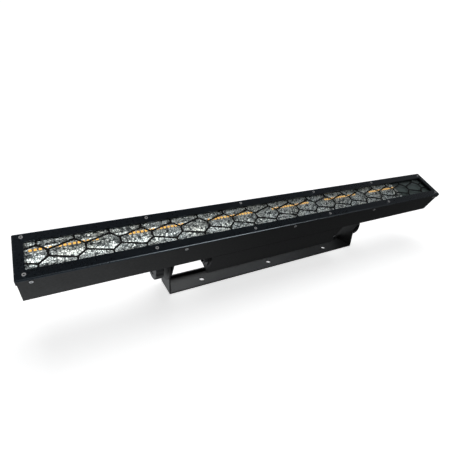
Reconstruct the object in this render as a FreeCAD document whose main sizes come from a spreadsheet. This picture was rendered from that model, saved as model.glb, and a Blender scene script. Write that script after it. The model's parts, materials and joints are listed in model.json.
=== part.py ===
import FreeCAD, Part

import math
import os
import re

# LED strip batten: a long light head on a floor yoke.
# Units are mm.  +X runs along the batten, +Y to the rear, +Z up.
# Origin: centre of the underside of the yoke's base plate.
# The head's sub-parts are drawn level, with the tilt axis as their own X axis, and are
# then raised to the pivot and tilted forward by their Placement.

os.makedirs("parts", exist_ok=True)
doc = FreeCAD.newDocument("led_strip_batten")
V = FreeCAD.Vector

# ---------------------------------------------------------------- driving dimensions
DIMS = {
    # yoke
    "base_len": (515.0, "yoke base length, outside the arms"),
    "base_dep": (51.4, "yoke base and arm width"),
    "steel": (3.0, "yoke steel thickness"),
    "flange_top": (9.0, "top of the rear stiffening flange"),
    "pivot_z": (65.0, "height of the tilt axis"),
    "rest_tilt": (26.83, "forward tilt of the face at rest, degrees"),
    "mount_rad": (5.5, "radius of the three base holes"),
    "mount_gap": (177.0, "spacing of the base holes"),
    "mount_y": (-6.0, "base hole line in front of the base centre"),
    "bolt_rad": (5.0, "pivot bolt radius"),
    "bolt_gap": (0.08, "radial running clearance of the pivot bolts"),
    "disc_rad": (38.0, "friction disc radius"),
    "disc_thk": (3.0, "friction disc thickness"),
    # head envelope, measured from the tilt axis
    "face_len": (1000.0, "bezel length"),
    "face_wid": (84.0, "bezel width"),
    "face_top": (102.0, "bezel front surface"),
    "bezel_thk": (3.0, "bezel thickness"),
    "lip_thk": (1.5, "thickness of the bezel's folded end lips"),
    "lip_bot": (90.0, "lower edge of the end lips"),
    "grille_thk": (1.0, "grille sheet thickness"),
    "body_len": (997.0, "body length over the end caps"),
    "body_wid": (81.0, "body width"),
    "body_top": (98.0, "top edge of the body walls"),
    "back_bot": (41.0, "outer surface of the body's back"),
    "wall": (2.0, "body wall thickness"),
    "cap_thk": (2.0, "end cap thickness"),
    # window, grille, glass
    "win_len": (970.0, "window length"),
    "win_wid": (50.0, "window width"),
    "cell_num": (18.0, "grille cells along the window"),
    "web": (3.2, "grille web width"),
    "glass_len": (982.0, "cover glass length"),
    "glass_wid": (62.4, "cover glass width"),
    "glass_bot": (94.4, "underside of the cover glass"),
    "glass_thk": (3.0, "cover glass thickness"),
    "seal_in_len": (972.0, "seal opening length"),
    "seal_in_wid": (53.0, "seal opening width"),
    # rails and reflector
    "rail_len": (990.0, "mounting rail length"),
    "rail_bot": (83.4, "underside of the mounting rails"),
    "rail_in": (31.7, "inner face of the mounting rails"),
    "ledge_in": (29.6, "inner face of the rail ledge"),
    "ledge_top": (93.6, "top of the rail ledge"),
    "refl_len": (976.0, "reflector length"),
    "refl_thk": (0.8, "reflector sheet thickness"),
    # LED line
    "led_y": (13.0, "LED line behind the head's centre plane"),
    "led_wid": (9.0, "LED board width"),
    "led_bot": (90.7, "underside of the LED boards"),
    "led_thk": (1.5, "LED board thickness"),
    "led_pitch": (150.7, "spacing of the LED boards"),
    "led_start": (-481.0, "left end of the first LED board"),
    "led_long": (110.0, "LED board length"),
    "led_short": (60.0, "last LED board length"),
    "chip": (5.0, "LED package side"),
    "chip_hgt": (1.0, "LED package height"),
    "chip_gap": (6.9, "LED package spacing"),
    # rear electronics box
    "box_len": (351.4, "electronics box length"),
    "box_bot": (-19.0, "underside of the electronics box"),
    "box_wall": (1.5, "electronics box sheet thickness"),
    "plate_thk": (2.0, "box end plate thickness"),
    # head bracket
    "ear_out": (254.2, "outer face of the pivot ears"),
    "ear_thk": (3.0, "pivot ear thickness"),
    "ear_rad": (32.0, "pivot ear end radius"),
    "foot_len": (33.0, "pivot ear foot length"),
    # clamp knob
    "knob_rad": (32.5, "clamp knob radius"),
    "knob_in": (269.0, "inner face of the knob grip"),
    "knob_out": (285.0, "outer face of the knob grip"),
}

dims = doc.addObject("Spreadsheet::Sheet", "dims")
for line, (alias, (value, note)) in enumerate(DIMS.items(), start=1):
    dims.set(f"A{line}", note)
    dims.set(f"B{line}", str(value))
    dims.setAlias(f"B{line}", alias)
doc.recompute()
D = {alias: value for alias, (value, note) in DIMS.items()}

WORD = re.compile(r"[a-z][a-z_]*")
NODES = {}


def linked(text):
    """The expression with its dimension names pointed at the spreadsheet."""
    return WORD.sub(lambda m: "dims." + m.group(0) if m.group(0) in DIMS else m.group(0), str(text))


def bind(obj, prop, text):
    obj.setExpression(prop, linked(text))


def place(obj, x, y, z):
    bind(obj, "Placement.Base.x", x)
    bind(obj, "Placement.Base.y", y)
    bind(obj, "Placement.Base.z", z)


def block(x_from, x_to, y_from, y_to, z_from, z_to):
    """Box between six planes, each given as an expression."""
    box = doc.addObject("Part::Box", "block")
    bind(box, "Length", f"({x_to}) - ({x_from})")
    bind(box, "Width", f"({y_to}) - ({y_from})")
    bind(box, "Height", f"({z_to}) - ({z_from})")
    place(box, x_from, y_from, z_from)
    return box


TURN = {
    "x": FreeCAD.Rotation(V(0, 1, 0), 90),
    "y": FreeCAD.Rotation(V(1, 0, 0), -90),
    "z": FreeCAD.Rotation(),
}


def rod(axis, radius, start, end, one, two):
    """Cylinder along an axis from start to end; one and two are its other coordinates."""
    cyl = doc.addObject("Part::Cylinder", "rod")
    cyl.Placement = FreeCAD.Placement(V(), TURN[axis])
    bind(cyl, "Radius", radius)
    bind(cyl, "Height", f"({end}) - ({start})")
    spot = {"x": (start, one, two), "y": (one, start, two), "z": (one, two, start)}[axis]
    place(cyl, *spot)
    return cyl


def cone(axis, radius_from, radius_to, start, end, one, two):
    """Cone frustum along an axis."""
    con = doc.addObject("Part::Cone", "cone")
    con.Placement = FreeCAD.Placement(V(), TURN[axis])
    bind(con, "Radius1", radius_from)
    bind(con, "Radius2", radius_to)
    bind(con, "Height", f"({end}) - ({start})")
    spot = {"x": (start, one, two), "y": (one, start, two), "z": (one, two, start)}[axis]
    place(con, *spot)
    return con


def hexagon(side, start, end, y, z):
    """Hexagonal prism along X."""
    prism = doc.addObject("Part::Prism", "hexagon")
    prism.Polygon = 6
    prism.Placement = FreeCAD.Placement(V(), TURN["x"])
    bind(prism, "Circumradius", side)
    bind(prism, "Height", f"({end}) - ({start})")
    place(prism, start, y, z)
    return prism


def fuse(*shapes):
    joined = doc.addObject("Part::MultiFuse", "joined")
    joined.Shapes = list(shapes)
    joined.Refine = True
    return joined


def group(shapes):
    bundle = doc.addObject("Part::Compound", "group")
    bundle.Links = list(shapes)
    return bundle


def cut(base, *tools):
    trimmed = doc.addObject("Part::Cut", "trimmed")
    trimmed.Base = base
    trimmed.Tool = tools[0] if len(tools) == 1 else group(tools)
    trimmed.Refine = True
    return trimmed


def rounded(base, radius, wanted):
    """Fillet on the edges of base that wanted() picks."""
    doc.recompute()
    smooth = doc.addObject("Part::Fillet", "rounded")
    smooth.Base = base
    picked = [n for n, edge in enumerate(base.Shape.Edges, start=1) if wanted(edge)]
    smooth.Edges = [(n, radius, radius) for n in picked]
    return smooth


def along(edge, direction):
    """True for a straight edge parallel to an axis."""
    if edge.Curve.TypeId != "Part::GeomLine":
        return False
    return abs(abs(edge.Curve.Direction.dot(direction)) - 1) < 1e-6


def profile(points, length, start, plane="YZ_Plane"):
    """Closed outline padded square to a base plane, from start over length."""
    body = doc.addObject("PartDesign::Body", "profile")
    sketch = body.newObject("Sketcher::SketchObject", "outline")
    base = next(f for f in body.Origin.OriginFeatures if f.Role == plane)
    sketch.AttachmentSupport = [(base, "")]
    sketch.MapMode = "FlatFace"
    bind(sketch, "AttachmentOffset.Base.z", start)
    corners = [V(a, b, 0) for a, b in points]
    for first, second in zip(corners, corners[1:] + corners[:1]):
        sketch.addGeometry(Part.LineSegment(first, second), False)
    pad = body.newObject("PartDesign::Pad", "pad")
    pad.Profile = sketch
    bind(pad, "Length", length)
    body.Tip = pad
    return body


def node(name, obj, tilted=True):
    """Names a finished sub-part and puts it where it stands at rest."""
    obj.Label = name
    if tilted:
        turn = FreeCAD.Rotation(V(1, 0, 0), D["rest_tilt"])
        obj.Placement = FreeCAD.Placement(V(0, 0, D["pivot_z"]), turn)
        bind(obj, "Placement.Base.z", "pivot_z")
        bind(obj, "Placement.Rotation.Angle", "rest_tilt")
    NODES[name] = obj


def wrap(obj):
    """Gives a single primitive a Placement of its own on top."""
    return group([obj])


def screw(axis, sign, seat, one, two, head_rad, head_hgt, shank_rad, length, recess):
    """Pan-head screw: the head stands on the seat on the sign side, the shank goes in."""
    if sign > 0:
        head = rod(axis, head_rad, seat, f"({seat}) + {head_hgt}", one, two)
        shank = rod(axis, shank_rad, f"({seat}) - {length}", seat, one, two)
        socket = rod(axis, recess, f"({seat}) + {head_hgt * 0.4}", f"({seat}) + {head_hgt + 1}", one, two)
    else:
        head = rod(axis, head_rad, f"({seat}) - {head_hgt}", seat, one, two)
        shank = rod(axis, shank_rad, seat, f"({seat}) + {length}", one, two)
        socket = rod(axis, recess, f"({seat}) - {head_hgt + 1}", f"({seat}) - {head_hgt * 0.4}", one, two)
    return cut(fuse(head, shank), socket)


SIDES = {"left": -1, "right": 1}


def span(sign, one, two):
    """Two distances from the centre, put in order along X on one side."""
    return sorted((sign * one, sign * two))


# ---------------------------------------------------------------- yoke
half = "base_len / 2"
base_plate = block(f"-{half}", half, "-base_dep / 2", "base_dep / 2", "0", "steel")
arms = []
for sign in SIDES.values():
    low, high = (f"-{half}", f"-{half} + steel") if sign < 0 else (f"{half} - steel", half)
    arms.append(block(low, high, "-base_dep / 2", "base_dep / 2", "0", "pivot_z"))
    arms.append(rod("x", "base_dep / 2", low, high, "0", "pivot_z"))
flange = block(f"-{half} + 6", f"{half} - 6", "base_dep / 2 - steel", "base_dep / 2", "0", "flange_top")
yoke = fuse(base_plate, flange, *arms)
X_AXIS, Y_AXIS, Z_AXIS = V(1, 0, 0), V(0, 1, 0), V(0, 0, 1)
yoke = rounded(yoke, 2.0, lambda e: along(e, Y_AXIS) and e.CenterOfMass.z < 0.1)
mount_holes = [
    rod("z", "mount_rad", "-1", "steel + 1", f"{k} * mount_gap", "mount_y") for k in (-1, 0, 1)
]
arm_holes = [
    rod("x", "bolt_rad + bolt_gap", f"{sign} * 256 - 5", f"{sign} * 256 + 5", "0", "pivot_z")
    for sign in SIDES.values()
]
node("yoke_bracket", cut(yoke, *mount_holes, *arm_holes), tilted=False)

for side, sign in SIDES.items():
    inner, outer = half, f"{half} + disc_thk"
    low, high = (f"-({outer})", f"-({inner})") if sign < 0 else (inner, outer)
    disc = rod("x", "disc_rad", low, high, "0", "pivot_z")
    disc = rounded(disc, 0.6, lambda e, s=sign: abs(e.CenterOfMass.x * s - 260.5) < 0.1)
    bore = rod("x", "bolt_rad + bolt_gap", f"({low}) - 1", f"({high}) + 1", "0", "pivot_z")
    node(f"friction_disc_{side}", cut(disc, bore), tilted=False)

# ---------------------------------------------------------------- bezel and grille
def is_corner(edge):
    """True at the four outer corners of the bezel."""
    middle = edge.CenterOfMass
    return abs(middle.x) > D["face_len"] / 2 - 0.1 and abs(middle.y) > D["face_wid"] / 2 - 0.1


BEZEL_X = (98.0, 294.0, 487.0)
BEZEL_Y = 33.5
bezel_spots = [(sx * x, sy * BEZEL_Y) for x in BEZEL_X for sx in (-1, 1) for sy in (-1, 1)]
bezel = block("-face_len / 2", "face_len / 2", "-face_wid / 2", "face_wid / 2",
              "face_top - bezel_thk", "face_top")
lips = [
    block(*span(sign, D["face_len"] / 2, D["face_len"] / 2 - D["lip_thk"]), "-face_wid / 2", "face_wid / 2",
          "lip_bot", "face_top")
    for sign in SIDES.values()
]
bezel = rounded(fuse(bezel, *lips), 2.4, lambda e: along(e, Z_AXIS) and e.Length > 3 and is_corner(e))
bezel = rounded(bezel, 2.2, lambda e: e.CenterOfMass.z > D["face_top"] - 0.1)
window = block("-win_len / 2", "win_len / 2", "-win_wid / 2", "win_wid / 2",
               "face_top - 5", "face_top + 5")
bezel_holes = [rod("z", "1.7", "face_top - 5", "face_top + 5", x, y) for x, y in bezel_spots]
node("bezel", cut(bezel, window, *bezel_holes))

CELL = D["win_len"] / D["cell_num"]
PEAK = 0.727 * CELL
WAIST = 6.0
CREST = 17.4
EDGE_X = -453.7
EDGE_HALF = D["win_wid"] / 2


def inset(points, gap):
    """Polygon with every side moved inwards by gap; points run anticlockwise."""
    moved = []
    count = len(points)
    for k in range(count):
        before, here, after = points[k - 1], points[k], points[(k + 1) % count]
        lines = []
        for (ax, ay), (bx, by) in ((before, here), (here, after)):
            size = math.hypot(bx - ax, by - ay)
            nx, ny = -(by - ay) / size, (bx - ax) / size
            lines.append((nx, ny, nx * ax + ny * ay + gap))
        (a, b, c), (d, e, f) = lines
        det = a * e - b * d
        moved.append(((c * e - b * f) / det, (a * f - c * d) / det))
    return moved


def clipped(points, low, high):
    """The part of a polygon between two values of x."""
    for limit, keep in ((low, 1), (high, -1)):
        kept = []
        for k, here in enumerate(points):
            before = points[k - 1]
            inside, was_inside = (here[0] - limit) * keep >= 0, (before[0] - limit) * keep >= 0
            if inside != was_inside:
                part = (limit - before[0]) / (here[0] - before[0])
                kept.append((limit, before[1] + part * (here[1] - before[1])))
            if inside:
                kept.append(here)
        points = kept
        if len(points) < 3:
            return []
    return points


hexes = []
roofs = []
for k in range(-2, int(D["cell_num"]) + 1):
    x = EDGE_X + k * CELL
    hexes.append([(x, -WAIST), (x + PEAK, -CREST), (x + CELL, -WAIST),
                  (x + CELL, WAIST), (x + PEAK, CREST), (x, WAIST)])
    peak, next_peak = x + PEAK, x + PEAK + CELL
    rim = EDGE_HALF + D["web"] / 2
    roofs.append([(peak, CREST), (x + CELL, WAIST), (next_peak, CREST), (next_peak, rim), (peak, rim)])
openings = []
for outline in hexes + roofs + [[(x, -y) for x, y in reversed(r)] for r in roofs]:
    opening = clipped(inset(outline, D["web"] / 2), -D["win_len"] / 2, D["win_len"] / 2)
    xs = [x for x, y in opening]
    if opening and max(xs) - min(xs) > 2.0:
        openings.append(opening)

body = doc.addObject("PartDesign::Body", "grille_sheet")
plane = next(f for f in body.Origin.OriginFeatures if f.Role == "XY_Plane")


def flat_sketch(name, level, outlines):
    sketch = body.newObject("Sketcher::SketchObject", name)
    sketch.AttachmentSupport = [(plane, "")]
    sketch.MapMode = "FlatFace"
    bind(sketch, "AttachmentOffset.Base.z", level)
    for outline in outlines:
        corners = [V(x, y, 0) for x, y in outline]
        sketch.addGeometry(
            [Part.LineSegment(a, b) for a, b in zip(corners, corners[1:] + corners[:1])], False)
    return sketch


hx, hy = D["body_len"] / 2, D["body_wid"] / 2 - 0.5
sheet_pad = body.newObject("PartDesign::Pad", "sheet_pad")
sheet_corners = [(-hx, -hy), (hx, -hy), (hx, hy), (-hx, hy)]
sheet_pad.Profile = flat_sketch("sheet_outline", "body_top", [sheet_corners])
bind(sheet_pad, "Length", "grille_thk")
cells = body.newObject("PartDesign::Pocket", "cells")
cells.Profile = flat_sketch("cell_outlines", "body_top + grille_thk", openings)
cells.Type = "ThroughAll"
body.Tip = cells
grille_holes = [rod("z", "1.7", "face_top - 5", "face_top + 5", x, y) for x, y in bezel_spots]
node("grille", cut(body, *grille_holes))

glass = block("-glass_len / 2", "glass_len / 2", "-glass_wid / 2", "glass_wid / 2",
              "glass_bot", "glass_bot + glass_thk")
node("cover_glass", wrap(glass))
seal = block("-glass_len / 2", "glass_len / 2", "-glass_wid / 2", "glass_wid / 2",
             "glass_bot + glass_thk", "body_top")
seal_gap = block("-seal_in_len / 2", "seal_in_len / 2", "-seal_in_wid / 2", "seal_in_wid / 2",
                 "glass_bot", "body_top + 1")
node("glass_seal", cut(seal, seal_gap))

# ---------------------------------------------------------------- reflector, rails, body
def bowl(y_from, z_from, y_to, z_to, sag, steps):
    """Points along a hanging arc between two points."""
    chord = math.hypot(y_to - y_from, z_to - z_from)
    radius = (chord * chord / 4 + sag * sag) / (2 * sag)
    mid_y, mid_z = (y_from + y_to) / 2, (z_from + z_to) / 2
    up_y, up_z = -(z_to - z_from) / chord, (y_to - y_from) / chord
    cy, cz = mid_y + up_y * (radius - sag), mid_z + up_z * (radius - sag)
    start = math.atan2(z_from - cz, y_from - cy)
    end = math.atan2(z_to - cz, y_to - cy)
    return [(cy + radius * math.cos(start + (end - start) * k / steps),
             cz + radius * math.sin(start + (end - start) * k / steps)) for k in range(steps + 1)]


def sheet_profile(top, thickness):
    """Closed outline of a bent sheet whose upper surface follows top."""
    under = []
    for k, (y, z) in enumerate(top):
        ay, az = top[max(k - 1, 0)]
        by, bz = top[min(k + 1, len(top) - 1)]
        size = math.hypot(by - ay, bz - az)
        under.append((y + (bz - az) / size * thickness, z - (by - ay) / size * thickness))
    return top + under[::-1]


lip = D["ledge_top"] + D["refl_thk"]
slot_front, slot_rear = D["led_y"] - 5.2, D["led_y"] + 5.2
front_bowl = [(-31.3, lip)] + bowl(-29.2, lip, slot_front, 93.6, 9.0, 16)
rear_bowl = bowl(slot_rear, 93.6, 29.2, lip, 2.6, 8) + [(31.3, lip)]
panels = []
for top in (front_bowl, rear_bowl):
    panels.append(profile(sheet_profile(top, D["refl_thk"]), "refl_len", "-refl_len / 2"))
ties = []
for sign in SIDES.values():
    tie_x = span(sign, D["refl_len"] / 2, D["refl_len"] / 2 - D["refl_thk"])
    tie = block(*tie_x, "-29", "29", "84", "ledge_top")
    ties.append(cut(tie, block(*tie_x, "led_y - 5.5", "led_y + 5.5", "83", "led_bot + 0.3")))
node("reflector", fuse(*panels, *ties))

SIDE_X = (-480.0, -242.0, 0.0, 242.0, 480.0)
SIDE_Z = 93.0
CAP_Z = 86.8
for name, sign in (("rail_front", -1), ("rail_rear", 1)):
    wall_in = D["body_wid"] / 2 - D["wall"]
    outline = [(D["ledge_in"], D["rail_bot"]), (wall_in, D["rail_bot"]),
               (wall_in, D["body_top"]), (D["rail_in"], D["body_top"]),
               (D["rail_in"], D["ledge_top"]), (D["ledge_in"], D["ledge_top"])]
    rail = profile([(sign * y, z) for y, z in outline], "rail_len", "-rail_len / 2")
    bores = [rod("z", "1.25", "93", "body_top + 1", s * x, sign * BEZEL_Y) for s in (-1, 1) for x in BEZEL_X]
    low, high = (-41, -33) if sign < 0 else (33, 41)
    bores += [rod("y", "1.25", low, high, x, SIDE_Z) for x in SIDE_X]
    bores += [rod("x", "1.25", s * 490 - 8, s * 490 + 8, sign * 35, CAP_Z) for s in (-1, 1)]
    node(name, cut(rail, *bores))

half_wid, inner = D["body_wid"] / 2, D["body_wid"] / 2 - D["wall"]
top, back, floor_z = D["body_top"], D["back_bot"], D["back_bot"] + D["wall"]
channel = profile(
    [(-half_wid, top), (-inner, top), (-inner, floor_z), (inner, floor_z),
     (inner, top), (half_wid, top), (half_wid, back), (-half_wid, back)],
    "body_len - 2 * cap_thk", "cap_thk - body_len / 2")
channel = rounded(channel, 1.2, lambda e: along(e, X_AXIS) and e.CenterOfMass.z < D["back_bot"] + 0.1)
channel_holes = [rod("y", "1.6", "-50", "50", x, SIDE_Z) for x in SIDE_X]
channel_holes.append(rod("z", "8", "back_bot - 1", "back_bot + 5", "0", "-20"))
FOOT_SPOTS = [(sx * x, sy * 25.0) for sx in (-1, 1) for x in (229.0, 243.0) for sy in (-1, 1)]
BOX_SPOTS = [(x, sy * 35.0) for x in (-150.0, 0.0, 150.0) for sy in (-1, 1)]
channel_holes += [rod("z", "2.6", "back_bot - 1", "back_bot + 5", x, y) for x, y in FOOT_SPOTS]
channel_holes += [rod("z", "2.1", "back_bot - 1", "back_bot + 5", x, y) for x, y in BOX_SPOTS]
node("body_channel", cut(channel, *channel_holes))

CAP_SPOTS = ((-35.0, CAP_Z), (35.0, CAP_Z), (12.0, 56.0))
for side, sign in SIDES.items():
    low, high = ("-body_len / 2", "cap_thk - body_len / 2") if sign < 0 else (
        "body_len / 2 - cap_thk", "body_len / 2")
    cap = block(low, high, "-body_wid / 2", "body_wid / 2", "back_bot", "body_top")
    cap = rounded(cap, 1.2, lambda e: along(e, X_AXIS) and e.CenterOfMass.z < D["back_bot"] + 0.1)
    holes = [rod("x", "1.6", sign * 498 - 5, sign * 498 + 5, y, z) for y, z in CAP_SPOTS]
    node(f"end_cap_{side}", cut(cap, *holes))

# ---------------------------------------------------------------- LED line
SPINE_PARTS = [
    ("led_y - 7", "led_y + 5", "back_bot + wall", "back_bot + wall + 3"),
    ("led_y - 4", "led_y + 2", "back_bot + wall", "led_bot"),
    ("led_y - 4.9", "led_y + 4.9", "led_bot - 2.2", "led_bot"),
]
SPINE_PARTS += [("led_y - 12", "led_y + 10", level, level + 1.5) for level in (52, 60, 68, 76)]
spine = fuse(*[block("-body_len / 2 + 6", "body_len / 2 - 6", *part) for part in SPINE_PARTS])
tapped = [rod("x", "1.25", s * 490 - 10, s * 490 + 10, "12", "56") for s in (-1, 1)]
node("led_heatsink", cut(spine, *tapped))

BOARDS = [("led_long", k) for k in range(6)] + [("led_short", 6)]
boards = []
chips = []
for length, k in BOARDS:
    start = f"led_start + {k} * led_pitch"
    boards.append(block(start, f"{start} + {length}", "led_y - led_wid / 2", "led_y + led_wid / 2",
                        "led_bot", "led_bot + led_thk"))
    for c in range(int(D[length] // D["chip_gap"])):
        at = f"{start} + 3.5 + {c} * chip_gap"
        chips.append(block(f"{at} - chip / 2", f"{at} + chip / 2", "led_y - chip / 2", "led_y + chip / 2",
                           "led_bot + led_thk", "led_bot + led_thk + chip_hgt"))
node("led_boards", group(boards))
node("led_chips", group(chips))

driver = [block("40", "230", "-36", "-6", "back_bot + wall + 4", "back_bot + wall + 5.6")]
for x, wide, deep, tall in ((60, 22, 22, 14), (96, 14, 14, 18), (122, 26, 20, 10), (160, 14, 14, 18),
                            (186, 22, 22, 14), (214, 12, 18, 9)):
    driver.append(block(x - wide / 2, x + wide / 2, -21 - deep / 2, -21 + deep / 2,
                        "back_bot + wall + 5.5", f"back_bot + wall + 5.6 + {tall}"))
for x in (44, 226):
    for y in (-33, -9):
        driver.append(rod("z", "2.5", "back_bot + wall", "back_bot + wall + 4.1", x, y))
node("driver_board", fuse(*driver))

# ---------------------------------------------------------------- electronics box
bw, bb = D["box_wall"], D["box_bot"]
shell = profile(
    [(-30, back - bw), (-30, back), (-half_wid, back), (-half_wid, bb), (half_wid, bb), (half_wid, back),
     (30, back), (30, back - bw), (half_wid - bw, back - bw), (half_wid - bw, bb + bw),
     (-half_wid + bw, bb + bw), (-half_wid + bw, back - bw)],
    "box_len", "-box_len / 2")
shell = rounded(shell, 1.2, lambda e: along(e, X_AXIS) and e.CenterOfMass.z < D["box_bot"] + 0.1)
BOX_SCREWS = ((168.0, -1), (168.0, 1), (-168.0, 1))
shell_holes = [rod("y", "1.7", *span(s, 50, 35), x, "10") for x, s in BOX_SCREWS]
shell_holes += [rod("z", "2.1", "back_bot - 5", "back_bot + 1", x, y) for x, y in BOX_SPOTS]
shell_holes.append(block("76", "162", "30", "50", "6", "30"))
node("box_shell", cut(shell, *shell_holes))

end_in, end_out = "box_len / 2 - 2.5", "box_len / 2 - 0.5"
SOCKET_Z = 13.0
SOCKET_Y = 19.0
FLANGE_SCREWS = ((-10.0, 12.0), (10.0, -12.0))
for side, sign in SIDES.items():
    low, high = (f"-({end_out})", f"-({end_in})") if sign < 0 else (end_in, end_out)
    plate = [block(low, high, "-body_wid / 2 + box_wall + 0.1", "body_wid / 2 - box_wall - 0.1",
                   "box_bot + box_wall + 0.1", "back_bot - box_wall - 0.1")]
    for s in (-1, 1):
        y_low, y_high = ("-body_wid / 2 + box_wall + 0.1", "-body_wid / 2 + box_wall + 1.6") if s < 0 else (
            "body_wid / 2 - box_wall - 1.6", "body_wid / 2 - box_wall - 0.1")
        x_low, x_high = (f"-({end_in})", f"11 - ({end_in})") if sign < 0 else (f"{end_in} - 11", end_in)
        plate.append(block(x_low, x_high, y_low, y_high, "0", "20"))
    holes = [rod("x", "12", sign * 174 - 5, sign * 174 + 5, y, SOCKET_Z) for y in (-SOCKET_Y, SOCKET_Y)]
    holes += [rod("x", "1.45", sign * 174 - 5, sign * 174 + 5, y + dy, SOCKET_Z + dz)
              for y in (-SOCKET_Y, SOCKET_Y) for dy, dz in FLANGE_SCREWS]
    if sign < 0:
        holes.append(rod("x", "6", sign * 174 - 5, sign * 174 + 5, "0", "32"))
    holes += [rod("y", "1.25", "-45", "45", sign * 168, "10")]
    node(f"box_end_{side}", cut(fuse(*plate), *holes))


def flange_screws(sign, y):
    """Two small screws at opposite corners of a panel socket's flange."""
    seat = f"{sign} * (box_len / 2 - 0.5 + 2)"
    return [screw("x", sign, seat, y + dy, SOCKET_Z + dz, 2.4, 1.4, 1.4, 4.0, 0.9)
            for dy, dz in FLANGE_SCREWS]


def socket_plate(sign, y):
    """Square flange of a panel socket, outside the end plate."""
    low, high = sorted((sign * 175.2, sign * 177.2))
    plate = block(low, high, y - 13, y + 13, SOCKET_Z - 15.5, SOCKET_Z + 15.5)
    plate = rounded(plate, 2.5, lambda e: along(e, X_AXIS))
    holes = [rod("x", "1.45", low - 1, high + 1, y + dy, SOCKET_Z + dz)
             for dy, dz in FLANGE_SCREWS]
    return plate, holes


socket_screw_parts = []
for name, y in (("power_inlet", -SOCKET_Y), ("power_outlet", SOCKET_Y)):
    plate, holes = socket_plate(-1, y)
    barrel = rod("x", "11.5", *span(-1, 150, 186), y, SOCKET_Z)
    mouth = rod("x", "9.4", *span(-1, 158, 190), y, SOCKET_Z)
    node(name, cut(fuse(plate, barrel), mouth, *holes))
    post = rod("x", "5.4", *span(-1, 158, 184), y, SOCKET_Z)
    eye = rod("x", "3.2", *span(-1, 166, 190), y, SOCKET_Z)
    key = block(*span(-1, 158, 185), y - 1.6, y + 1.6, SOCKET_Z + 6.5, SOCKET_Z + 9.2)
    node(f"{name}_core", group([cut(post, eye), key]))
    socket_screw_parts += flange_screws(-1, y)

for name, y in (("data_inlet", -SOCKET_Y), ("data_outlet", SOCKET_Y)):
    plate, holes = socket_plate(1, y)
    barrel = rod("x", "11.5", *span(1, 152, 178.5), y, SOCKET_Z)
    spots = [(y + 5.6 * math.cos(math.radians(a)), SOCKET_Z + 5.6 * math.sin(math.radians(a)))
             for a in (-150, -90, -30, 30, 150)]
    if name == "data_inlet":
        mouth = rod("x", "9.6", *span(1, 162, 180), y, SOCKET_Z)
        bores = [rod("x", "1.1", *span(1, 158, 163), py, pz) for py, pz in spots]
        node(name, cut(cut(fuse(plate, barrel), mouth, *holes), *bores))
        node("data_pins", group([rod("x", "1.1", *span(1, 158, 174), py, pz) for py, pz in spots]))
    else:
        wells = [rod("x", "1.4", *span(1, 163, 180), py, pz) for py, pz in spots]
        groove = cut(rod("x", "10.6", *span(1, 170, 180), y, SOCKET_Z),
                     rod("x", "9.2", *span(1, 169, 181), y, SOCKET_Z))
        node(name, cut(fuse(plate, barrel), groove, *wells, *holes))
    socket_screw_parts += flange_screws(1, y)
node("socket_screws", group(socket_screw_parts))

fuse_body = fuse(rod("x", "5.9", *span(-1, 150, 175.2), "0", "32"),
                 rod("x", "7", *span(-1, 175.2, 177), "0", "32"))
fuse_cap = rod("x", "6.2", *span(-1, 177, 182), "0", "32")
fuse_slot = block(-183, -180.8, -0.6, 0.6, 26.5, 37.5)
node("fuse_holder", cut(fuse(fuse_body, fuse_cap), fuse_slot))

panel = block("72", "164", "body_wid / 2", "body_wid / 2 + 1.2", "2", "34")
panel = rounded(panel, 2.0, lambda e: along(e, Y_AXIS))
lens_gap = block("78", "118", "30", "50", "8", "28")
BUTTONS = {"button_menu": 127.0, "button_down": 137.0, "button_up": 147.0, "button_enter": 157.0}
button_gaps = [rod("y", "3.8", "30", "50", x, "18") for x in BUTTONS.values()]
node("control_panel", cut(panel, lens_gap, *button_gaps))
node("display_window", wrap(block("78.1", "117.9", "body_wid / 2", "body_wid / 2 + 1", "8.1", "27.9")))
node("display_module", fuse(block("77", "119", "34.6", "38.6", "7", "29"),
                            block("80", "116", "38.5", "39.4", "10", "26")))
control = [block("66", "164", "33", "34.6", "-12", "36")]
for x, z, wide, tall in ((84, -4, 12, 8), (108, -4, 9, 9), (132, -4, 16, 8), (150, 30, 10, 6)):
    control.append(block(x - wide / 2, x + wide / 2, "30.5", "33.1", z - tall / 2, z + tall / 2))
for x in BUTTONS.values():
    control.append(block(x - 3, x + 3, "34.5", "36.5", "15", "21"))
node("control_board", fuse(*control))
for name, x in BUTTONS.items():
    cap_part = rod("y", "3.5", "body_wid / 2 - 1.4", "body_wid / 2 + 2.6", x, "18")
    cap_part = rounded(cap_part, 0.6, lambda e: e.CenterOfMass.y > D["body_wid"] / 2 + 2.5)
    stem = rod("y", "1.6", "body_wid / 2 - 2.8", "body_wid / 2 - 1.3", x, "18")
    node(name, fuse(cap_part, stem))

psu_case = block("-140", "50", "-34", "28", "box_bot + box_wall + 4", "box_bot + box_wall + 42")
vents = [block(x, x + 12, "-40", "40", z, z + 3) for x in range(-130, 40, 20) for z in (-8, -1, 6, 13)]
psu_room = block("-138.5", "48.5", "-32.5", "26.5", "box_bot + box_wall + 5.5", "box_bot + box_wall + 40.5")
psu_legs = [rod("z", "3", "box_bot + box_wall", "box_bot + box_wall + 4.6", x, y)
            for x in (-130, 40) for y in (-28, 22)]
node("power_supply_case", fuse(cut(psu_case, psu_room, *vents), *psu_legs))
core = [block("-136", "46", "-31", "25", "box_bot + box_wall + 8", "box_bot + box_wall + 9.6")]
for x, y, wide, deep, tall in ((-110, -4, 38, 36, 24), (-64, -6, 30, 30, 26), (-30, 8, 18, 18, 26),
                               (-30, -16, 18, 18, 26), (4, -4, 28, 34, 20), (32, -4, 14, 40, 14)):
    core.append(block(x - wide / 2, x + wide / 2, y - deep / 2, y + deep / 2,
                      "box_bot + box_wall + 9.5", f"box_bot + box_wall + 9.6 + {tall}"))
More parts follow.
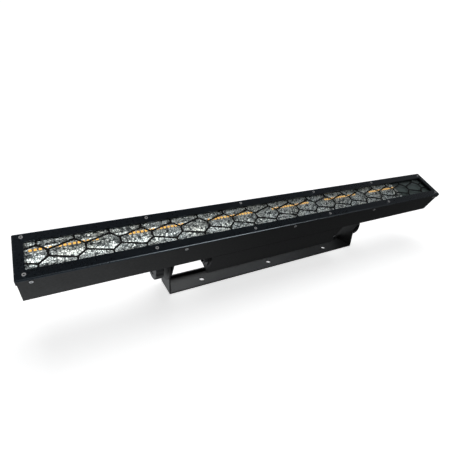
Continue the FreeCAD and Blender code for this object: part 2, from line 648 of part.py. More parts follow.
core += [rod("z", "2.4", "box_bot + box_wall + 5.5", "box_bot + box_wall + 8.1", x, y)
         for x in (-130, 40) for y in (-25, 19)]
node("power_supply_board", fuse(*core))

ring = fuse(rod("z", "7.9", "back_bot - 3", "back_bot + 5", "0", "-20"),
            rod("z", "9.6", "back_bot - 3", "back_bot", "0", "-20"),
            rod("z", "9.6", "back_bot + wall", "back_bot + wall + 3", "0", "-20"))
node("cable_grommet", cut(ring, rod("z", "5", "back_bot - 5", "back_bot + 8", "0", "-20")))

# ---------------------------------------------------------------- fasteners of the head
node("bezel_screws", group(
    [screw("z", 1, "face_top", x, y, 2.8, 1.6, 1.2, 7.0, 1.3) for x, y in bezel_spots]))
node("side_screws", group(
    [screw("y", s, f"{s} * body_wid / 2", x, SIDE_Z, 2.8, 1.6, 1.2, 6.0, 1.3)
     for x in SIDE_X for s in (-1, 1)]))
node("cap_screws", group(
    [screw("x", s, f"{s} * body_len / 2", y, z, 2.8, 1.6, 1.2, 8.0, 1.3)
     for y, z in CAP_SPOTS for s in (-1, 1)]))
node("box_side_screws", group(
    [screw("y", s, f"{s} * body_wid / 2", x, "10", 3.0, 1.7, 1.2, 4.0, 1.3) for x, s in BOX_SCREWS]))
box_bolts = []
for x, y in BOX_SPOTS:
    bolt = screw("z", -1, "back_bot - box_wall", x, y, 3.4, 2.4, 2.0, 7.0, 1.6)
    nut = rod("z", "3.3", "back_bot + wall", "back_bot + wall + 3", x, y)
    box_bolts.append(fuse(bolt, nut))
node("box_mount_screws", group(box_bolts))

# ---------------------------------------------------------------- pivot bracket and clamp
for side, sign in SIDES.items():
    lo, hi = span(sign, D["ear_out"], D["ear_out"] - D["ear_thk"])
    foot_lo, foot_hi = span(sign, D["ear_out"], D["ear_out"] - D["foot_len"])
    ear = fuse(block(lo, hi, "-ear_rad", "ear_rad", "0", "back_bot"),
               rod("x", "ear_rad", lo, hi, "0", "0"),
               block(foot_lo, foot_hi, "-ear_rad", "ear_rad", "back_bot - ear_thk", "back_bot"))
    corner = sign * D["ear_out"]
    ear = rounded(ear, 2.5, lambda e, c=corner: along(e, Y_AXIS) and abs(e.CenterOfMass.x - c) < 0.1
                  and e.CenterOfMass.z > 40.9)
    bores = [rod("x", "bolt_rad + 0.02", lo - 1, hi + 1, "0", "0")]
    bores += [rod("z", "2.6", "back_bot - 5", "back_bot + 1", x, y) for x, y in FOOT_SPOTS if x * sign > 0]
    node(f"pivot_ear_{side}", cut(ear, *bores))
foot_bolts = []
for x, y in FOOT_SPOTS:
    bolt = screw("z", -1, "back_bot - ear_thk", x, y, 4.2, 2.8, 2.5, 9.0, 2.0)
    nut = rod("z", "4.4", "back_bot + wall", "back_bot + wall + 4", x, y)
    foot_bolts.append(fuse(bolt, nut))
node("ear_screws", group(foot_bolts))

left_bolt = fuse(rod("x", "9.5", -251.2, -246.7, "0", "0"), rod("x", "bolt_rad", -280, -251.2, "0", "0"))
node("pivot_bolt_left", cut(left_bolt, hexagon(3.4, -249.2, -246, "0", "0")))
right_bolt = fuse(rod("x", "9.5", 246.7, 251.2, "0", "0"), rod("x", "bolt_rad", 251.2, 275, "0", "0"))
node("pivot_bolt_right", cut(right_bolt, hexagon(3.4, 246, 249.2, "0", "0")))
node("pivot_washer_left", cut(rod("x", "12.5", -262.6, -260.8, "0", "0"),
                              rod("x", "bolt_rad + 0.02", -264, -260, "0", "0")))
node("pivot_washer_right", cut(rod("x", "12.5", 260.8, 262.6, "0", "0"),
                               rod("x", "bolt_rad + 0.02", 260, 264, "0", "0")))
nut = cut(hexagon(9.6, 262.6, 269.6, "0", "0"), rod("x", "bolt_rad + 0.02", 262, 272, "0", "0"))
collar = cut(rod("x", "7.8", 269.6, 272.2, "0", "0"), rod("x", "bolt_rad + 0.02", 269, 273, "0", "0"))
node("lock_nut", fuse(nut, collar))

grip = rod("x", "knob_rad", "-knob_out", "-knob_in", "0", "0")
grip = rounded(grip, 1.6, lambda e: e.CenterOfMass.x < -D["knob_in"] + 0.1)
flutes = []
for k in range(12):
    angle = math.radians(15 + 30 * k)
    reach = D["knob_rad"] + 7.0
    flutes.append(rod("x", "8.6", "-knob_out - 2", "-knob_in + 2",
                      reach * math.cos(angle), reach * math.sin(angle)))
dish = rod("x", "22", "-knob_out - 1", "-knob_out + 1.4", "0", "0")
neck = cone("x", "17", "13.5", "-knob_in - 0.1", "-263.2", "0", "0")
knob = fuse(cut(grip, dish, *flutes), neck)
insert_room = rod("x", "8.02", "-knob_out + 4", "-262", "0", "0")
node("clamp_knob", cut(knob, insert_room))
insert = rod("x", "8", "-knob_out + 4", "-262.9", "0", "0")
node("knob_insert", cut(insert, rod("x", "bolt_rad + bolt_gap", "-knob_out + 4.5", "-262", "0", "0")))

# ---------------------------------------------------------------- check and write
doc.recompute()
for obj in doc.Objects:
    bad = [s for s in obj.State if s in ("Invalid", "Error")]
    if bad:
        raise SystemExit(f"{obj.Name} ({obj.Label}) is {bad}")
for name, obj in NODES.items():
    shape = obj.Shape
    if shape.isNull() or not shape.isValid() or shape.Volume <= 0:
        raise SystemExit(f"{name} has no valid solid")
for name, obj in NODES.items():
    obj.Shape.exportStep(f"parts/{name}.step")
    print(name, len(obj.Shape.Solids), round(obj.Shape.Volume / 1000, 2), "cm3")
print(len(NODES), "nodes")
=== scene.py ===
import json
import math

import bpy
import numpy as np
from mathutils import Matrix, Vector


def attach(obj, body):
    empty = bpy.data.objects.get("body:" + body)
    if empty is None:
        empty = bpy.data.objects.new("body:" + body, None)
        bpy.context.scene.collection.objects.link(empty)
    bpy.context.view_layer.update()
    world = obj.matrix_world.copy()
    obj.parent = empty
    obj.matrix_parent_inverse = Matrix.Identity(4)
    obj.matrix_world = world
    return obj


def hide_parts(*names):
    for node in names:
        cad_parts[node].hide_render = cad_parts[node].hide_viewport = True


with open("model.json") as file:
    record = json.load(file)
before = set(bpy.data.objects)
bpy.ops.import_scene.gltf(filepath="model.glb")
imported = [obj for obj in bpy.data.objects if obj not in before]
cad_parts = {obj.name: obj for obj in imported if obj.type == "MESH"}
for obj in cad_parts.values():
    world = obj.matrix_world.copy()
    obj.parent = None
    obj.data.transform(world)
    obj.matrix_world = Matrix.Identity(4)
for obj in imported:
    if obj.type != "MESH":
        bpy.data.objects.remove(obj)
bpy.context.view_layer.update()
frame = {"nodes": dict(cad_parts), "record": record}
NODES = frame["nodes"]
SCENE = bpy.context.scene

# The head is drawn level round its tilt axis and turned into its rest place, as in the CAD.
PIVOT_Z = 0.065
REST_TILT = math.radians(26.83)
HEAD = Matrix.Translation((0, 0, PIVOT_Z)) @ Matrix.Rotation(REST_TILT, 4, "X")
MM = 0.001
CAMERA_TURN = (28.60, 24.19, 2.65)
CAMERA_PLACE = (-0.4301, -0.5342, 0.4090)


# ------------------------------------------------------------------ camera and light
def aim_camera():
    """Camera at the photograph's viewing angle, from its heading, pitch and roll."""
    yaw, pitch, roll = (math.radians(angle) for angle in CAMERA_TURN)
    ahead = Vector((math.sin(yaw) * math.cos(pitch), math.cos(yaw) * math.cos(pitch), -math.sin(pitch)))
    right = Vector((math.cos(yaw), -math.sin(yaw), 0))
    above = right.cross(ahead)
    side = right * math.cos(roll) + above * math.sin(roll)
    top = above * math.cos(roll) - right * math.sin(roll)
    turn = Matrix((side, top, -ahead)).transposed().to_4x4()
    data = bpy.data.cameras.new("camera")
    data.sensor_width = 36.0
    data.lens = 25.75
    data.shift_x = 0.0144
    data.shift_y = -0.0128
    data.clip_start = 0.01
    data.clip_end = 50
    cam = bpy.data.objects.new("camera", data)
    cam.matrix_world = Matrix.Translation(CAMERA_PLACE) @ turn
    SCENE.collection.objects.link(cam)
    SCENE.camera = cam


def area_light(name, place, target, size, power, color=(1, 1, 1), diffuse=False):
    """Soft box; without diffuse it only shows as a reflection."""
    data = bpy.data.lights.new(name, "AREA")
    data.shape = "RECTANGLE"
    data.size, data.size_y = size
    data.energy = power
    data.color = color
    lamp = bpy.data.objects.new(name, data)
    direction = Vector(target) - Vector(place)
    lamp.matrix_world = Matrix.Translation(place) @ direction.to_track_quat("-Z", "Y").to_matrix().to_4x4()
    lamp.visible_diffuse = diffuse
    SCENE.collection.objects.link(lamp)
    return lamp


aim_camera()
SCENE.view_settings.view_transform = "Standard"
SCENE.view_settings.look = "None"
overhead = bpy.data.lights.new("overhead", "SUN")
overhead.energy = 1.35
overhead.angle = math.radians(60)
tent = bpy.data.objects.new("overhead", overhead)
tent.matrix_world = Vector((0.25, 0.35, 1.0)).to_track_quat("Z", "Y").to_matrix().to_4x4()
tent.visible_glossy = False
SCENE.collection.objects.link(tent)
# These boxes only show as reflections; the overhead light does the rest.
area_light("rear_box", (-0.6, 1.7, 1.6), (0, 0, 0.1), (3.2, 2.0), 22)
area_light("front_top_box", (-0.7, -1.05, 2.1), (0, 0, 0.1), (2.4, 1.2), 14, (1.0, 0.96, 0.90))
area_light("back_box", (0.4, 2.3, 0.5), (0, 0, 0.1), (3.0, 1.2), 24, (0.90, 0.96, 1.0))
rim_box = area_light("rim_box", (0.75, -1.95, 0.95), (-0.1, 0, 0.1), (1.3, 1.3), 120, (1.0, 0.90, 0.80))


# ------------------------------------------------------------------ node helpers
class Tree:
    """Short way to write a material's nodes."""

    def __init__(self, name):
        self.mat = bpy.data.materials.new(name)
        self.mat.use_nodes = True
        self.nt = self.mat.node_tree
        self.nt.nodes.clear()
        self.out = self.nt.nodes.new("ShaderNodeOutputMaterial")
        self.place = None

    def add(self, kind, props=None, **sockets):
        node = self.nt.nodes.new("ShaderNode" + kind)
        for key, value in (props or {}).items():
            setattr(node, key, value)
        for key, value in sockets.items():
            self.put(node, key.replace("_", " "), value)
        return node

    def put(self, node, key, value):
        socket = node.inputs[int(key) if key.isdigit() else key]
        if isinstance(value, bpy.types.NodeSocket):
            self.nt.links.new(value, socket)
        else:
            socket.default_value = value

    def coords(self):
        if self.place is None:
            self.place = self.add("TexCoord").outputs["Object"]
        return self.place

    def noise(self, scale, detail=2.0, roughness=0.5, stretch=None):
        vector = self.coords()
        if stretch:
            vector = self.add("Mapping", Vector=vector, Scale=stretch).outputs[0]
        node = self.add("TexNoise", Vector=vector, Scale=scale, Detail=detail, Roughness=roughness)
        return node.outputs["Fac"]

    def cells(self, scale, feature="F1", output="Distance", randomness=1.0):
        node = self.add("TexVoronoi", {"feature": feature}, Vector=self.coords(), Scale=scale,
                        Randomness=randomness)
        return node.outputs[output]

    def math(self, operation, one, two=0.0, three=0.0):
        node = self.add("Math", {"operation": operation})
        for key, value in zip("012", (one, two, three)):
            self.put(node, key, value)
        return node.outputs[0]

    def ramp(self, value, low, high, to_low=0.0, to_high=1.0):
        node = self.add("MapRange", Value=value)
        for key, number in zip("1234", (low, high, to_low, to_high)):
            self.put(node, key, number)
        return node.outputs[0]

    def mix(self, factor, one, two, blend="MIX"):
        node = self.nt.nodes.new("ShaderNodeMix")
        node.data_type = "RGBA"
        node.blend_type = blend
        self.put(node, "0", factor)
        self.put(node, "6", rgba(one))
        self.put(node, "7", rgba(two))
        return node.outputs[2]

    def bump(self, height, distance, strength):
        return self.add("Bump", Height=height, Distance=distance, Strength=strength).outputs[0]

    def surface(self, **sockets):
        shader = self.add("BsdfPrincipled", **sockets)
        self.nt.links.new(shader.outputs[0], self.out.inputs[0])
        return self.mat


def rgba(value):
    """A colour with its alpha; anything else as it is."""
    if isinstance(value, tuple) and len(value) == 3:
        return (*value, 1.0)
    return value


# ------------------------------------------------------------------ materials
def powder_coat(name, dark, light, rough=(0.42, 0.56), grain=1400, specular=0.4, tint=(1, 1, 1)):
    """Satin powder coat: orange-peel grain, faint cloudiness and a few dust specks."""
    t = Tree(name)
    cloud = t.noise(9.0, 4.0)
    fine = t.noise(260.0, 3.0)
    peel = t.noise(grain, 2.0)
    dust = t.ramp(t.noise(620.0, 1.0), 0.70, 0.76)
    color = t.mix(t.ramp(cloud, 0.35, 0.65), dark, light)
    color = t.mix(t.math("MULTIPLY", dust, 0.18), color, (0.16, 0.16, 0.155))
    roughness = t.ramp(t.math("ADD", t.math("MULTIPLY", cloud, 0.5), t.math("MULTIPLY", fine, 0.5)),
                       0.35, 0.65, *rough)
    normal = t.bump(peel, 0.00006, 0.55)
    return t.surface(Base_Color=color, Roughness=roughness, Normal=normal, Specular_IOR_Level=specular,
                     Specular_Tint=(*tint, 1.0))


def moulded_plastic(name, color, rough=0.5, grain=2600, depth=0.00005):
    """Spark-eroded moulded plastic."""
    t = Tree(name)
    texture = t.noise(grain, 2.0)
    cloud = t.noise(30.0, 3.0)
    lighter = tuple(c * 1.6 + 0.004 for c in color)
    shade = t.mix(t.ramp(cloud, 0.4, 0.7), color, lighter)
    return t.surface(Base_Color=shade, Roughness=t.ramp(cloud, 0.3, 0.7, rough - 0.05, rough + 0.08),
                     Normal=t.bump(texture, depth, 0.6))


def soft_rubber(name, color):
    """Matt rubber with a fine grain."""
    t = Tree(name)
    texture = t.noise(1800.0, 2.0)
    cloud = t.noise(60.0, 3.0)
    shade = t.mix(t.ramp(cloud, 0.35, 0.7), color, tuple(c * 1.5 for c in color))
    return t.surface(Base_Color=shade, Roughness=t.ramp(cloud, 0.3, 0.7, 0.62, 0.8),
                     Normal=t.bump(texture, 0.00006, 0.5))


def brushed_metal(name, color, stretch, rough=(0.24, 0.42), tint=(0.8, 0.8, 0.8)):
    """Drawn or turned metal with fine lines along one axis."""
    t = Tree(name)
    lines = t.noise(900.0, 3.0, stretch=stretch)
    cloud = t.noise(25.0, 3.0)
    shade = t.mix(t.ramp(lines, 0.3, 0.7), color, tuple(c * k for c, k in zip(color, tint)))
    blend = t.math("ADD", t.math("MULTIPLY", lines, 0.5), t.math("MULTIPLY", cloud, 0.5))
    return t.surface(Base_Color=shade, Metallic=1.0, Roughness=t.ramp(blend, 0.3, 0.7, *rough),
                     Normal=t.bump(lines, 0.00003, 0.35))


def recessed_metal(name, color):
    """Plated screw: bright on the rim, darkened with painted shade (ambient occlusion) where surfaces close
    in on each other.
    """
    t = Tree(name)
    cloud = t.noise(900.0, 3.0)
    shade = t.mix(t.ramp(cloud, 0.3, 0.7), color, tuple(c * 0.75 for c in color))
    ao_painted_shade = t.add("AmbientOcclusion", {"samples": 8}, Distance=0.0018).outputs["AO"]
    # Painted shade: the colour goes near black where ambient occlusion finds surfaces close by, as in the
    # recess.
    shade = t.mix(t.ramp(ao_painted_shade, 0.70, 0.97), (0.012, 0.012, 0.013), shade)
    return t.surface(Base_Color=shade, Metallic=0.9, Roughness=t.ramp(cloud, 0.3, 0.7, 0.24, 0.36),
                     Normal=t.bump(cloud, 0.00003, 0.4))


def hammered(name):
    """Hammered aluminium: the mesh has the dimples; the nodes add painted reflection as light and dark
    facets, painted shade in the creases, and stains.
    """
    t = Tree(name)
    cloud = t.noise(22.0, 4.0)
    stain = t.noise(240.0, 3.0, 0.6)
    facet = t.add("SeparateColor", Color=t.cells(270.0, output="Color"))
    crease_shade = t.ramp(t.cells(270.0, "DISTANCE_TO_EDGE"), 0.03, 0.16)
    # Painted reflection: each facet's base colour is set light or dark at random, standing in for the glints
    # and dark spots a hammered sheet reflects.
    color = t.mix(t.ramp(facet.outputs[0], 0.05, 0.45), (0.07, 0.075, 0.08), (0.88, 0.90, 0.92))
    color = t.mix(t.ramp(cloud, 0.4, 0.7, 0.0, 0.5), color, (0.95, 0.84, 0.70), "MULTIPLY")
    # Painted shade: the colour goes near black along the facet edges, in the creases.
    color = t.mix(crease_shade, (0.03, 0.034, 0.038), color)
    normal = t.bump(t.math("ADD", facet.outputs[1], stain), 0.0006, 0.6)
    return t.surface(Base_Color=color, Metallic=0.6, Roughness=t.ramp(stain, 0.3, 0.7, 0.24, 0.40),
                     Normal=normal)


def clear_glass(name):
    """Toughened glass as two thin panes of shine over clear, a trace of smears in the shine."""
    t = Tree(name)
    clear = t.add("BsdfTransparent", Color=(0.955, 0.975, 0.97, 1.0))
    smear = t.ramp(t.noise(14.0, 4.0), 0.4, 0.7, 0.02, 0.09)
    shine = t.add("BsdfGlossy", Color=(0.95, 0.98, 0.98, 1.0), Roughness=smear)
    edge_on = t.add("LayerWeight", Blend=0.5).outputs["Facing"]
    share = t.math("MULTIPLY_ADD", t.math("POWER", edge_on, 5.0), 0.9, 0.04)
    mixed = t.add("MixShader")
    t.nt.links.new(share, mixed.inputs[0])
    t.nt.links.new(clear.outputs[0], mixed.inputs[1])
    t.nt.links.new(shine.outputs[0], mixed.inputs[2])
    t.nt.links.new(mixed.outputs[0], t.out.inputs[0])
    return t.mat


def glowing(name, color, light, strength):
    """Lit LED phosphor: brighter in patches, as dies under the phosphor show."""
    t = Tree(name)
    patch = t.noise(420.0, 2.0)
    shade = t.mix(t.ramp(patch, 0.35, 0.65), color, tuple(min(c * 1.15, 1) for c in color))
    return t.surface(Base_Color=shade, Roughness=0.45, Emission_Color=(*light, 1.0),
                     Emission_Strength=strength)


def board(name, mask, copper):
    """Circuit board lacquer over faint copper tracks."""
    t = Tree(name)
    tracks = t.cells(160.0, "DISTANCE_TO_EDGE", "Distance", 0.2)
    line = t.ramp(tracks, 0.04, 0.07)
    shade = t.mix(line, copper, mask)
    return t.surface(Base_Color=shade, Roughness=0.35, Normal=t.bump(line, 0.00004, 0.4))


coat = powder_coat("black_coat", (0.003, 0.0031, 0.0029), (0.005, 0.0051, 0.0047), specular=0.45)
bezel_coat = powder_coat("bezel_coat", (0.002, 0.0026, 0.0036), (0.004, 0.0048, 0.006), (0.26, 0.36),
                         specular=0.45, tint=(0.62, 0.80, 1.0))
steel_coat = powder_coat("black_steel", (0.005, 0.0056, 0.0058), (0.010, 0.0105, 0.0105), rough=(0.34, 0.46))
matt_coat = powder_coat("grille_black", (0.003, 0.003, 0.0032), (0.006, 0.006, 0.0062), (0.5, 0.65),
                        specular=0.2)
# Painted dark reflection: a greenish dark coat for the sheet that closes the window's right end.
dark_end_coat = powder_coat("painted_dark_end", (0.070, 0.100, 0.095), (0.105, 0.135, 0.130), (0.4, 0.5), grain=300)
nylon = moulded_plastic("friction_plastic", (0.006, 0.006, 0.0065), 0.52)
knob_skin = moulded_plastic("knob_plastic", (0.008, 0.009, 0.011), 0.42)
socket_skin = moulded_plastic("socket_plastic", (0.010, 0.010, 0.012), 0.38, depth=0.00003)
panel_skin = moulded_plastic("panel_plastic", (0.008, 0.008, 0.009), 0.45)
rubber = soft_rubber("seal_rubber", (0.010, 0.010, 0.010))
button_skin = soft_rubber("button_rubber", (0.028, 0.028, 0.031))
screw_metal = recessed_metal("screw_steel", (0.62, 0.63, 0.64))
plain_metal = brushed_metal("plain_aluminium", (0.62, 0.63, 0.64), (0.05, 1, 1), (0.3, 0.5),
                            (0.85, 0.85, 0.85))
die_cast = powder_coat("socket_metal", (0.012, 0.012, 0.013), (0.02, 0.02, 0.021), rough=(0.3, 0.42))
gilt = brushed_metal("pin_metal", (0.80, 0.60, 0.26), (6, 1, 1), (0.18, 0.3), (0.9, 0.85, 0.8))
brass = brushed_metal("insert_brass", (0.72, 0.53, 0.24), (6, 1, 1), (0.22, 0.36), (0.85, 0.82, 0.75))
mirror_sheet = hammered("hammered_aluminium")
glass = clear_glass("clear_glass")
white_board = board("white_board", (0.78, 0.78, 0.74), (0.55, 0.55, 0.50))
green_board = board("green_board", (0.012, 0.075, 0.032), (0.03, 0.12, 0.05))
lit_amber = glowing("amber_led", (0.85, 0.45, 0.11), (1.0, 0.52, 0.115), 1.3)
led_case = moulded_plastic("led_case", (0.72, 0.72, 0.68), 0.4)
dark_glass = moulded_plastic("display_tint", (0.006, 0.008, 0.010), 0.12, depth=0.000005)
screen_face = moulded_plastic("display_plastic", (0.010, 0.014, 0.018), 0.3)

FINISHES = {
    "black_steel": steel_coat, "friction_plastic": nylon, "black_coat": coat, "grille_black": matt_coat,
    "clear_glass": glass, "seal_rubber": rubber, "hammered_aluminium": mirror_sheet,
    "plain_aluminium": plain_metal, "white_board": white_board, "amber_led": lit_amber,
    "green_board": green_board, "socket_plastic": socket_skin, "socket_metal": die_cast,
    "pin_metal": gilt, "screw_steel": screw_metal, "panel_plastic": panel_skin,
    "display_tint": dark_glass, "display_plastic": screen_face, "button_rubber": button_skin,
    "knob_plastic": knob_skin, "insert_brass": brass,
}


def paint(obj, mat):
    """Give a carried-over node one material."""
    obj.data.materials.clear()
    obj.data.materials.append(mat)


for entry in frame["record"]["subparts"]:
    paint(NODES[entry["node"]], FINISHES[entry["material_slot"]])
paint(NODES["bezel"], bezel_coat)


# ------------------------------------------------------------------ mesh helpers
def new_mesh(name, verts, faces, mats, smooth=False, slots=None):
    """Mesh object from head-space millimetres, put at its rest place."""
    mesh = bpy.data.meshes.new(name)
    verts = np.asarray(verts, float) * MM
    turn = np.array(HEAD)
    verts = verts @ turn[:3, :3].T + turn[:3, 3]
    mesh.from_pydata(verts.tolist(), [], faces)
    for mat in mats:
        mesh.materials.append(mat)
    if slots is not None:
        mesh.polygons.foreach_set("material_index", slots)
    mesh.polygons.foreach_set("use_smooth", [smooth] * len(mesh.polygons))
    mesh.update()
    obj = bpy.data.objects.new(name, mesh)
    SCENE.collection.objects.link(obj)
    return obj


def grid_faces(rows, cols, start=0, flip=False):
    """Quads over a grid of points, row by row."""
    faces = []
    for r in range(rows - 1):
        for c in range(cols - 1):
            a = start + r * cols + c
            quad = (a, a + 1, a + cols + 1, a + cols)
            faces.append(quad[::-1] if flip else quad)
    return faces


# ------------------------------------------------------------------ hammered reflector
def arc(y_from, z_from, y_to, z_to, sag, steps):
    """Points along a hanging arc, as the CAD reflector has."""
    chord = math.hypot(y_to - y_from, z_to - z_from)
    radius = (chord * chord / 4 + sag * sag) / (2 * sag)
    cy = (y_from + y_to) / 2 - (z_to - z_from) / chord * (radius - sag)
    cz = (z_from + z_to) / 2 + (y_to - y_from) / chord * (radius - sag)
    start, end = math.atan2(z_from - cz, y_from - cy), math.atan2(z_to - cz, y_to - cy)
    angles = [start + (end - start) * k / steps for k in range(steps + 1)]
    return [(cy + radius * math.cos(a), cz + radius * math.sin(a)) for a in angles]


def dimples(u, v, pitch, rng, jitter=0.38):
    """Hammer marks: height below the sheet at (u, v), from jittered cells."""
    rows, cols = int(v.max() / pitch) + 4, int(u.max() / pitch) + 4
    seed_u = (np.arange(cols)[None, :] - 1 + 0.5 * (np.arange(rows)[:, None] % 2)) * pitch
    seed_v = (np.arange(rows)[:, None] - 1) * pitch * 0.87 + np.zeros((1, cols))
    seed_u = seed_u + rng.uniform(-jitter, jitter, seed_u.shape) * pitch
    seed_v = seed_v + rng.uniform(-jitter, jitter, seed_v.shape) * pitch
    depth = rng.uniform(0.7, 1.2, seed_u.shape)
    col, row = np.floor(u / pitch).astype(int) + 1, np.floor(v / (pitch * 0.87)).astype(int) + 1
    best = np.full(u.shape, 1e9)
    height = np.zeros(u.shape)
    for dr in (-1, 0, 1, 2):
        for dc in (-2, -1, 0, 1, 2):
            r, c = np.clip(row + dr, 0, rows - 1), np.clip(col + dc, 0, cols - 1)
            far = (u - seed_u[r, c]) ** 2 + (v - seed_v[r, c]) ** 2
            nearer = far < best
            best = np.where(nearer, far, best)
            height = np.where(nearer, depth[r, c], height)
    return -height * np.clip(1.0 - best / (0.36 * pitch * pitch), 0.0, 1.0)


def box_mesh(x, y, z):
    """Vertices and faces of a box between two values of each coordinate."""
    verts = [(a, b, c) for a in x for b in y for c in z]
    faces = [(0, 1, 3, 2), (4, 6, 7, 5), (0, 4, 5, 1), (2, 3, 7, 6), (0, 2, 6, 4), (1, 5, 7, 3)]
    return verts, faces


def reflector_sheet(outline, left, right, rng, step=1.2, deep=0.6, thick=0.6):
    """Closed sheet: the outline swept along X, hammered on top and smooth underneath."""
    pts = np.array(outline)
    run = np.concatenate([[0], np.cumsum(np.hypot(*np.diff(pts, axis=0).T))])
    count = int(run[-1] / step) + 1
    at = np.linspace(0, run[-1], count)
    y, z = np.interp(at, run, pts[:, 0]), np.interp(at, run, pts[:, 1])
    ty, tz = np.gradient(y), np.gradient(z)
    size = np.hypot(ty, tz)
    ny, nz = -tz / size, ty / size
    x = np.linspace(left, right, int((right - left) / step) + 1)
    uu, vv = np.meshgrid(x - left, at)
    lift = dimples(uu, vv, 5.0, rng) * deep
    fade = np.clip(np.minimum(at, run[-1] - at) / 2.0, 0, 1)[:, None]
    lift = lift * fade
    layers = []
    for shift in (lift, np.full(lift.shape, -thick)):
        layers.append(np.stack([np.broadcast_to(x, uu.shape), y[:, None] + ny[:, None] * shift,
                                z[:, None] + nz[:, None] * shift], -1).reshape(-1, 3))
    rows, cols = len(at), len(x)
    under = rows * cols
    faces = grid_faces(rows, cols) + grid_faces(rows, cols, under, flip=True)
    rim = list(range(cols - 1)) + [r * cols + cols - 1 for r in range(rows - 1)]
    rim += [(rows - 1) * cols + c for c in range(cols - 1, 0, -1)]
    rim += [r * cols for r in range(rows - 1, 0, -1)]
    for a, b in zip(rim, rim[1:] + rim[:1]):
        faces.append((b, a, a + under, b + under))
    return np.concatenate(layers), faces


# Head-space millimetres, as the CAD has them; only the left edge of the dark end sheet, a painted dark
# reflection, is the scene's own.
LIP = 94.4
LEFT_END, DARK_END_X, RIGHT_END = -488.0, 372.0, 487.5
END_PLATE = 0.8
outline = [(-31.3, LIP)] + arc(-29.2, LIP, 7.8, 93.6, 9.0, 24) + [(10.0, 92.7), (16.0, 92.7)]
outline += arc(18.2, 93.6, 29.2, LIP, 2.6, 12) + [(31.3, LIP)]
verts, faces = reflector_sheet(outline, LEFT_END, DARK_END_X, np.random.default_rng(7))
end_strips = (((-29.0, 7.5), (84.0, 93.6)), ((7.5, 18.5), (91.0, 93.6)), ((18.5, 29.0), (84.0, 93.6)))
for x in ((LEFT_END, LEFT_END + END_PLATE), (DARK_END_X - END_PLATE, DARK_END_X)):
    for y, z in end_strips:
        more, quads = box_mesh(x, y, z)
        faces += [tuple(i + len(verts) for i in quad) for quad in quads]
        verts = np.concatenate([verts, more])
reflector = new_mesh("reflector_hammered", verts, faces, [mirror_sheet], smooth=True)
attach(reflector, "head")

# A flat dark greenish plate closes the right end of the window, just under the glass: painted dark
# reflection, standing in for the reflector's dark right end.
verts, faces = box_mesh((DARK_END_X + 0.4, RIGHT_END), (-31.0, 31.0), (93.7, 94.3))
dark_end_sheet = new_mesh("window_dark_end", verts, faces, [dark_end_coat])
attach(dark_end_sheet, "head")


# ------------------------------------------------------------------ LED packages
def squared(value):
    """Cosine or sine pushed outwards, so that a ring of points becomes a rounded square."""
    return math.copysign(abs(value) ** 0.5, value)


def led_packages():
    """Square white packages with a rounded-square lit well, on the CAD's LED places."""
    size, top, low = 2.5, 93.2, 92.2
    pitch, line_y, well_top, well_floor, well_deep = 6.9, 13.0, 2.35, 2.15, 0.2
    boards = [(-481.0 + 150.7 * k, 110.0 if k < 6 else 60.0) for k in range(7)]
    ring = 16
    angles = [2 * math.pi * (k + 0.5) / ring - math.pi * 0.75 for k in range(ring)]
    around = [(squared(math.cos(a)), squared(math.sin(a))) for a in angles]
    corners = [(-1, -1), (1, -1), (1, 1), (-1, 1)]
    verts, faces, slots = [], [], []
    for start, length in boards:
        for c in range(int(length // pitch)):
            cx, cy = start + 3.5 + pitch * c, line_y
            base = len(verts)
            verts += [(cx + sx * size, cy + sy * size, low) for sx, sy in corners]
            verts += [(cx + sx * size, cy + sy * size, top) for sx, sy in corners]
            verts += [(cx + well_top * sx, cy + well_top * sy, top) for sx, sy in around]
            verts += [(cx + well_floor * sx, cy + well_floor * sy, top - well_deep) for sx, sy in around]
            for k in range(4):
                n = (k + 1) % 4
                faces.append((base + k, base + n, base + 4 + n, base + 4 + k))
                slots.append(0)
            for k in range(ring):
                n = (k + 1) % ring
                corner = base + 4 + k // 4
                faces.append((corner, base + 8 + n, base + 8 + k))
                slots.append(0)
                if (k + 1) % 4 == 0:
                    faces.append((corner, base + 4 + (k // 4 + 1) % 4, base + 8 + n))
                    slots.append(0)
                faces.append((base + 8 + k, base + 8 + n, base + 8 + ring + n, base + 8 + ring + k))
                slots.append(0)
            faces.append(tuple(base + 8 + ring + k for k in range(ring)))
            slots.append(1)
    return new_mesh("led_packages", verts, faces, [led_case, lit_amber], slots=slots)


packages = led_packages()
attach(packages, "head")
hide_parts("led_chips")
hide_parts("reflector")


# ------------------------------------------------------------------ floor and surroundings
def floor():
    """Pale paper floor that glows a little, so that it stays near white."""
    t = Tree("floor_paper")
    grain = t.noise(40.0, 4.0)
    shade = t.mix(t.ramp(grain, 0.3, 0.7), (0.86, 0.86, 0.86), (0.89, 0.89, 0.89))
    mat = t.surface(Base_Color=shade, Roughness=0.9, Specular_IOR_Level=0.1,
                    Emission_Color=(1.0, 1.0, 1.0, 1.0), Emission_Strength=0.72)
    mesh = bpy.data.meshes.new("floor")
    corners = [(12 * sx, 12 * sy, -0.0002) for sx, sy in ((-1, -1), (1, -1), (1, 1), (-1, 1))]
    mesh.from_pydata(corners, [], [(0, 1, 2, 3)])
    mesh.materials.append(mat)
    obj = bpy.data.objects.new("floor", mesh)
    obj.visible_glossy = False
    obj.visible_diffuse = False
    SCENE.collection.objects.link(obj)


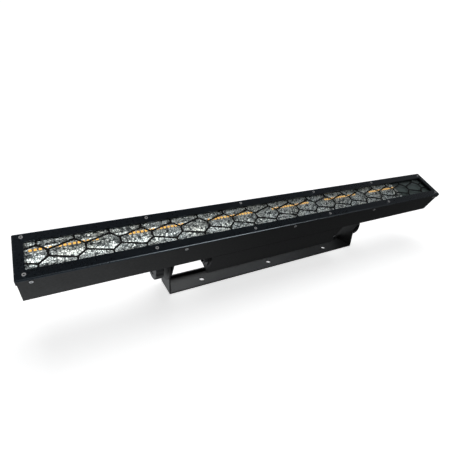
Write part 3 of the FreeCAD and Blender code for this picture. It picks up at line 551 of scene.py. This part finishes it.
def sky():
    """White to the eye; as a light it is a dim room, brighter on the left and below."""
    world = bpy.data.worlds.new("studio")
    SCENE.world = world
    world.use_nodes = True
    nt = world.node_tree
    nt.nodes.clear()
    out = nt.nodes.new("ShaderNodeOutputWorld")
    direction = nt.nodes.new("ShaderNodeTexCoord").outputs["Generated"]
    split = nt.nodes.new("ShaderNodeSeparateXYZ")
    nt.links.new(direction, split.inputs[0])

    def fade(value, low, high, to_low, to_high):
        node = nt.nodes.new("ShaderNodeMapRange")
        node.interpolation_type = "SMOOTHSTEP"
        nt.links.new(value, node.inputs["Value"])
        for key, number in zip((1, 2, 3, 4), (low, high, to_low, to_high)):
            node.inputs[key].default_value = number
        return node.outputs[0]

    below = fade(split.outputs["X"], -0.20, 0.60, 0.75, 0.08)
    above = fade(split.outputs["X"], -0.25, 0.90, 0.075, 0.17)
    height = fade(split.outputs["Z"], -0.3, 0.1, 0.0, 1.0)
    room = nt.nodes.new("ShaderNodeBackground")
    room.inputs["Color"].default_value = (0.94, 0.97, 1.0, 1.0)
    blend = nt.nodes.new("ShaderNodeMix")
    for socket, value in zip((0, 2, 3), (height, below, above)):
        nt.links.new(value, blend.inputs[socket])
    nt.links.new(blend.outputs[0], room.inputs["Strength"])
    paper = nt.nodes.new("ShaderNodeBackground")
    paper.inputs["Color"].default_value = (1.0, 1.0, 1.0, 1.0)
    paper.inputs["Strength"].default_value = 1.05
    mixed = nt.nodes.new("ShaderNodeMixShader")
    nt.links.new(nt.nodes.new("ShaderNodeLightPath").outputs["Is Camera Ray"], mixed.inputs[0])
    nt.links.new(room.outputs[0], mixed.inputs[1])
    nt.links.new(paper.outputs[0], mixed.inputs[2])
    nt.links.new(mixed.outputs[0], out.inputs[0])


def lit_by(lamp, *pieces):
    """A lamp that only reaches the given pieces."""
    group = bpy.data.collections.new(f"{lamp.name}_reaches")
    for piece in pieces:
        group.objects.link(piece)
    lamp.light_linking.receiver_collection = group


floor()
sky()
# Three boxes only reach the pieces named here, the trough and the screws with diffuse light too.
trough_box = area_light("trough_box", (-0.3, -0.95, 1.7), (0, 0, 0.1), (2.2, 2.2), 44, diffuse=True)
screw_box = area_light("screw_box", (-0.4, -1.9, 0.5), (0, 0, 0.1), (1.5, 1.5), 120, diffuse=True)
lit_by(rim_box, NODES["bezel"])
lit_by(trough_box, reflector)
lit_by(screw_box, NODES["bezel_screws"], NODES["side_screws"], NODES["cap_screws"])
